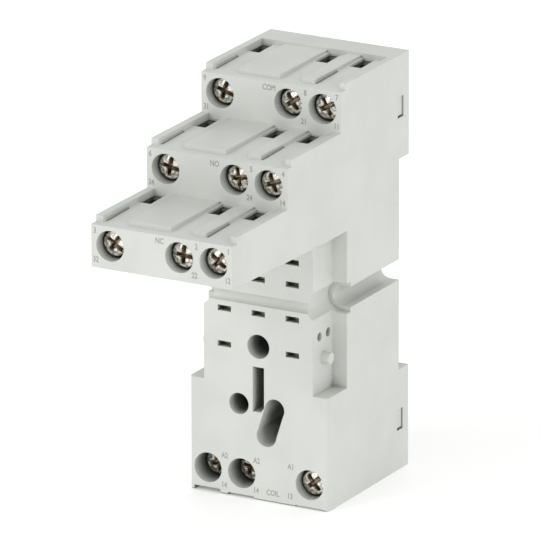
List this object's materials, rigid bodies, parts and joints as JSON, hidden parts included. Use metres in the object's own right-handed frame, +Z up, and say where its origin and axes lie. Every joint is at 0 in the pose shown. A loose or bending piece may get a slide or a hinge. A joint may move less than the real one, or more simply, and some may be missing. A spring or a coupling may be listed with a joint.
{
  "type": "relay socket",
  "caption": "Stepped DIN-rail socket for a plug-in relay with changeover poles, with screw terminals on three tiers and on the foot.",
  "frame": {"origin": "middle of the seat that bears on the rail, centred across the body", "axes": "+Z up towards the tiers of terminals, -Y to the front where the screws and the relay are, +X to the right seen from the front"},
  "size_m": [0.027, 0.0625, 0.0748],
  "materials": {
    "housing_plastic": "moulded light grey, fine satin",
    "cover_plastic": "moulded light grey, fine satin",
    "clip_plastic": "moulded dark grey, satin",
    "spring_steel": "drawn wire",
    "screw_nickel": "bright nickel plate",
    "plate_steel": "zinc plate",
    "cage_nickel": "nickel plate",
    "contact_brass": "stamped brass strip"
  },
  "bodies": {
    "socket": {"housing": "housing_plastic", "rear_cover": "cover_plastic", "clip_spring": "spring_steel", "com_left_clamp_cage": "cage_nickel", "com_middle_clamp_cage": "cage_nickel", "com_right_clamp_cage": "cage_nickel", "no_left_clamp_cage": "cage_nickel", "no_middle_clamp_cage": "cage_nickel", "no_right_clamp_cage": "cage_nickel", "nc_left_clamp_cage": "cage_nickel", "nc_middle_clamp_cage": "cage_nickel", "nc_right_clamp_cage": "cage_nickel", "coil_a2_left_clamp_cage": "cage_nickel", "coil_a2_middle_clamp_cage": "cage_nickel", "coil_a1_clamp_cage": "cage_nickel", "com_left_contact": "contact_brass", "com_middle_contact": "contact_brass", "com_right_contact": "contact_brass", "no_left_contact": "contact_brass", "no_middle_contact": "contact_brass", "no_right_contact": "contact_brass", "nc_left_contact": "contact_brass", "nc_middle_contact": "contact_brass", "nc_right_contact": "contact_brass", "coil_a2_contact": "contact_brass", "coil_a1_contact": "contact_brass"},
    "rail_clip": {"rail_clip": "clip_plastic"},
    "com_left_plate": {"com_left_pressure_plate": "plate_steel"},
    "com_left_screw": {"com_left_screw": "screw_nickel"},
    "com_middle_plate": {"com_middle_pressure_plate": "plate_steel"},
    "com_middle_screw": {"com_middle_screw": "screw_nickel"},
    "com_right_plate": {"com_right_pressure_plate": "plate_steel"},
    "com_right_screw": {"com_right_screw": "screw_nickel"},
    "no_left_plate": {"no_left_pressure_plate": "plate_steel"},
    "no_left_screw": {"no_left_screw": "screw_nickel"},
    "no_middle_plate": {"no_middle_pressure_plate": "plate_steel"},
    "no_middle_screw": {"no_middle_screw": "screw_nickel"},
    "no_right_plate": {"no_right_pressure_plate": "plate_steel"},
    "no_right_screw": {"no_right_screw": "screw_nickel"},
    "nc_left_plate": {"nc_left_pressure_plate": "plate_steel"},
    "nc_left_screw": {"nc_left_screw": "screw_nickel"},
    "nc_middle_plate": {"nc_middle_pressure_plate": "plate_steel"},
    "nc_middle_screw": {"nc_middle_screw": "screw_nickel"},
    "nc_right_plate": {"nc_right_pressure_plate": "plate_steel"},
    "nc_right_screw": {"nc_right_screw": "screw_nickel"},
    "coil_a2_left_plate": {"coil_a2_left_pressure_plate": "plate_steel"},
    "coil_a2_left_screw": {"coil_a2_left_screw": "screw_nickel"},
    "coil_a2_middle_plate": {"coil_a2_middle_pressure_plate": "plate_steel"},
    "coil_a2_middle_screw": {"coil_a2_middle_screw": "screw_nickel"},
    "coil_a1_plate": {"coil_a1_pressure_plate": "plate_steel"},
    "coil_a1_screw": {"coil_a1_screw": "screw_nickel"}
  },
  "joints": [
    {"name": "rail_clip_slide", "type": "slide", "parent": "socket", "child": "rail_clip", "axis": [0, 0, -1], "range_m": [0, 0.0025], "stiffness_N_per_m": 1200, "springref_m": -0.002, "deforming": ["clip_spring"]},
    {"name": "com_left_plate_slide", "type": "slide", "parent": "socket", "child": "com_left_plate", "axis": [0, 1, 0], "range_m": [0, 0.00394]},
    {"name": "com_left_screw_turn", "type": "hinge", "parent": "com_left_plate", "child": "com_left_screw", "pos_m": [-0.0099, -0.013, 0.03295], "axis": [0, 1, 0], "range_deg": [0, 2836]},
    {"name": "com_middle_plate_slide", "type": "slide", "parent": "socket", "child": "com_middle_plate", "axis": [0, 1, 0], "range_m": [0, 0.00394]},
    {"name": "com_middle_screw_turn", "type": "hinge", "parent": "com_middle_plate", "child": "com_middle_screw", "pos_m": [0.0033, -0.013, 0.03295], "axis": [0, 1, 0], "range_deg": [0, 2836]},
    {"name": "com_right_plate_slide", "type": "slide", "parent": "socket", "child": "com_right_plate", "axis": [0, 1, 0], "range_m": [0, 0.00394]},
    {"name": "com_right_screw_turn", "type": "hinge", "parent": "com_right_plate", "child": "com_right_screw", "pos_m": [0.0099, -0.013, 0.03295], "axis": [0, 1, 0], "range_deg": [0, 2836]},
    {"name": "no_left_plate_slide", "type": "slide", "parent": "socket", "child": "no_left_plate", "axis": [0, 1, 0], "range_m": [0, 0.00394]},
    {"name": "no_left_screw_turn", "type": "hinge", "parent": "no_left_plate", "child": "no_left_screw", "pos_m": [-0.0099, -0.032, 0.0246], "axis": [0, 1, 0], "range_deg": [0, 2836]},
    {"name": "no_middle_plate_slide", "type": "slide", "parent": "socket", "child": "no_middle_plate", "axis": [0, 1, 0], "range_m": [0, 0.00394]},
    {"name": "no_middle_screw_turn", "type": "hinge", "parent": "no_middle_plate", "child": "no_middle_screw", "pos_m": [0.0033, -0.032, 0.0246], "axis": [0, 1, 0], "range_deg": [0, 2836]},
    {"name": "no_right_plate_slide", "type": "slide", "parent": "socket", "child": "no_right_plate", "axis": [0, 1, 0], "range_m": [0, 0.00394]},
    {"name": "no_right_screw_turn", "type": "hinge", "parent": "no_right_plate", "child": "no_right_screw", "pos_m": [0.0099, -0.032, 0.0246], "axis": [0, 1, 0], "range_deg": [0, 2836]},
    {"name": "nc_left_plate_slide", "type": "slide", "parent": "socket", "child": "nc_left_plate", "axis": [0, 1, 0], "range_m": [0, 0.00394]},
    {"name": "nc_left_screw_turn", "type": "hinge", "parent": "nc_left_plate", "child": "nc_left_screw", "pos_m": [-0.0099, -0.051, 0.01625], "axis": [0, 1, 0], "range_deg": [0, 2836]},
    {"name": "nc_middle_plate_slide", "type": "slide", "parent": "socket", "child": "nc_middle_plate", "axis": [0, 1, 0], "range_m": [0, 0.00394]},
    {"name": "nc_middle_screw_turn", "type": "hinge", "parent": "nc_middle_plate", "child": "nc_middle_screw", "pos_m": [0.0033, -0.051, 0.01625], "axis": [0, 1, 0], "range_deg": [0, 2836]},
    {"name": "nc_right_plate_slide", "type": "slide", "parent": "socket", "child": "nc_right_plate", "axis": [0, 1, 0], "range_m": [0, 0.00394]},
    {"name": "nc_right_screw_turn", "type": "hinge", "parent": "nc_right_plate", "child": "nc_right_screw", "pos_m": [0.0099, -0.051, 0.01625], "axis": [0, 1, 0], "range_deg": [0, 2836]},
    {"name": "coil_a2_left_plate_slide", "type": "slide", "parent": "socket", "child": "coil_a2_left_plate", "axis": [0, 1, 0], "range_m": [-0.00175, 0.00219]},
    {"name": "coil_a2_left_screw_turn", "type": "hinge", "parent": "coil_a2_left_plate", "child": "coil_a2_left_screw", "pos_m": [-0.0099, -0.0177, -0.0329], "axis": [0, 1, 0], "range_deg": [-1260, 1576]},
    {"name": "coil_a2_middle_plate_slide", "type": "slide", "parent": "socket", "child": "coil_a2_middle_plate", "axis": [0, 1, 0], "range_m": [-0.00175, 0.00219]},
    {"name": "coil_a2_middle_screw_turn", "type": "hinge", "parent": "coil_a2_middle_plate", "child": "coil_a2_middle_screw", "pos_m": [-0.0033, -0.0177, -0.0329], "axis": [0, 1, 0], "range_deg": [-1260, 1576]},
    {"name": "coil_a1_plate_slide", "type": "slide", "parent": "socket", "child": "coil_a1_plate", "axis": [0, 1, 0], "range_m": [0, 0.00394]},
    {"name": "coil_a1_screw_turn", "type": "hinge", "parent": "coil_a1_plate", "child": "coil_a1_screw", "pos_m": [0.0099, -0.0177, -0.0329], "axis": [0, 1, 0], "range_deg": [0, 2836]}
  ],
  "couplings": [
    {"joint": "com_left_screw_turn", "follows": "com_left_plate_slide", "rad_per_m": 12566},
    {"joint": "com_middle_screw_turn", "follows": "com_middle_plate_slide", "rad_per_m": 12566},
    {"joint": "com_right_screw_turn", "follows": "com_right_plate_slide", "rad_per_m": 12566},
    {"joint": "no_left_screw_turn", "follows": "no_left_plate_slide", "rad_per_m": 12566},
    {"joint": "no_middle_screw_turn", "follows": "no_middle_plate_slide", "rad_per_m": 12566},
    {"joint": "no_right_screw_turn", "follows": "no_right_plate_slide", "rad_per_m": 12566},
    {"joint": "nc_left_screw_turn", "follows": "nc_left_plate_slide", "rad_per_m": 12566},
    {"joint": "nc_middle_screw_turn", "follows": "nc_middle_plate_slide", "rad_per_m": 12566},
    {"joint": "nc_right_screw_turn", "follows": "nc_right_plate_slide", "rad_per_m": 12566},
    {"joint": "coil_a2_left_screw_turn", "follows": "coil_a2_left_plate_slide", "rad_per_m": 12566},
    {"joint": "coil_a2_middle_screw_turn", "follows": "coil_a2_middle_plate_slide", "rad_per_m": 12566},
    {"joint": "coil_a1_screw_turn", "follows": "coil_a1_plate_slide", "rad_per_m": 12566}
  ]
}
